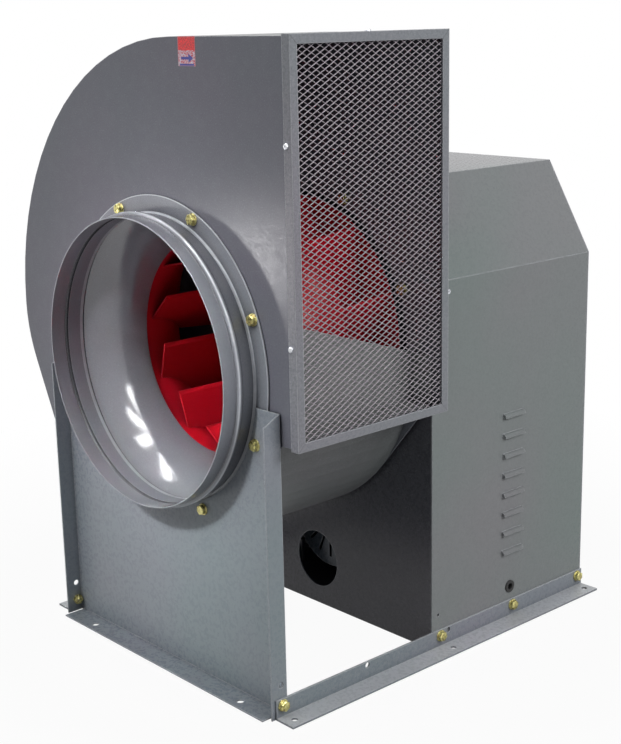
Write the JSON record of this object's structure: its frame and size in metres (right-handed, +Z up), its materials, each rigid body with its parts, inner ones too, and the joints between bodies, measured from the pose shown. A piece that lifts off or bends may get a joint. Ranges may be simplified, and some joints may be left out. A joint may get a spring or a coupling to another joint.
{
  "type": "belt-driven centrifugal fire-rated fan",
  "caption": "Single-inlet centrifugal smoke-extract fan: rolled scroll casing with round inlet spigot and guarded rectangular outlet, on base rails with a louvred belt-drive housing.",
  "frame": {"origin": "middle of the six floor holes in the two base rails, on the floor", "axes": "+Z up; +X out of the rectangular outlet; -Y out of the round inlet spigot, along the fan shaft"},
  "size_m": [0.639, 0.684, 0.8845],
  "materials": {
    "galvanised_sheet": "satin",
    "galvanised_frame": "satin",
    "guard_sheet": "satin",
    "yellow_zinc": "satin",
    "white_zinc": "satin",
    "bright_steel": "polished",
    "red_paint": "gloss",
    "console_steel": "satin",
    "block_iron": "satin",
    "pulley_iron": "satin",
    "motor_aluminium": "satin",
    "winding": "satin",
    "cooling_aluminium": "satin",
    "belt_rubber": "matte",
    "grommet_rubber": "matte",
    "seal_fibre": "matte",
    "fan_plastic": "matte"
  },
  "bodies": {
    "casing_and_housing": {"front_plate": "galvanised_sheet", "scroll_wrap": "galvanised_sheet", "back_plate": "galvanised_sheet", "cutoff_plate": "galvanised_sheet", "outlet_frame": "galvanised_frame", "outlet_guard": "guard_sheet", "outlet_frame_screws": "white_zinc", "inlet_spigot": "galvanised_frame", "inlet_cone": "galvanised_sheet", "inlet_bolts": "yellow_zinc", "front_support": "galvanised_sheet", "rail_left": "galvanised_frame", "rail_right": "galvanised_frame", "rail_bolts": "yellow_zinc", "rear_panel": "galvanised_sheet", "gasket_ring": "seal_fibre", "rear_panel_bolts": "yellow_zinc", "shaft_seal": "seal_fibre", "housing_side_left": "galvanised_sheet", "housing_side_right": "galvanised_sheet", "housing_roof": "galvanised_sheet", "housing_rear_cover": "galvanised_sheet", "housing_screws": "white_zinc", "cable_grommet": "grommet_rubber", "base_tray": "galvanised_sheet", "bearing_console": "console_steel", "console_bolts": "white_zinc", "bearing_blocks": "block_iron", "bearing_outer_rings": "bright_steel", "block_bolts": "white_zinc", "v_belts": "belt_rubber", "motor_plate": "console_steel", "motor_plate_pin": "white_zinc", "tension_screws": "white_zinc", "motor_foot_bolts": "white_zinc", "motor_frame": "motor_aluminium", "motor_stator": "winding", "motor_drive_shield": "motor_aluminium", "motor_rear_shield": "motor_aluminium", "motor_bearings": "bright_steel", "motor_fan_cowl": "motor_aluminium", "motor_terminal_box": "motor_aluminium", "motor_terminal_lid": "motor_aluminium"},
    "fan_rotor": {"impeller_back_disc": "red_paint", "impeller_shroud": "red_paint", "impeller_blades": "red_paint", "impeller_hub": "red_paint", "hub_bolts": "white_zinc", "fan_shaft": "bright_steel", "shaft_end_screw": "yellow_zinc", "shaft_keys": "bright_steel", "cooling_disc": "cooling_aluminium", "bearing_inner_rings": "bright_steel", "fan_pulley": "pulley_iron", "fan_pulley_bush": "pulley_iron"},
    "motor_rotor": {"motor_shaft": "bright_steel", "motor_rotor_core": "bright_steel", "motor_cooling_fan": "fan_plastic", "motor_pulley": "pulley_iron"},
    "bearing_balls": {"bearing_ball_rows": "bright_steel"}
  },
  "joints": [
    {"name": "fan_spin", "type": "hinge", "parent": "casing_and_housing", "child": "fan_rotor", "pos_m": [0, 0, 0.448], "axis": [0, 1, 0], "continuous": true},
    {"name": "motor_spin", "type": "hinge", "parent": "casing_and_housing", "child": "motor_rotor", "pos_m": [0, 0, 0.134], "axis": [0, 1, 0], "continuous": true},
    {"name": "ball_spin", "type": "hinge", "parent": "casing_and_housing", "child": "bearing_balls", "pos_m": [0, 0, 0.448], "axis": [0, 1, 0], "continuous": true}
  ],
  "couplings": [
    {"joint": "motor_spin", "follows": "fan_spin", "ratio": 1.44},
    {"joint": "ball_spin", "follows": "fan_spin", "ratio": 0.3976}
  ]
}
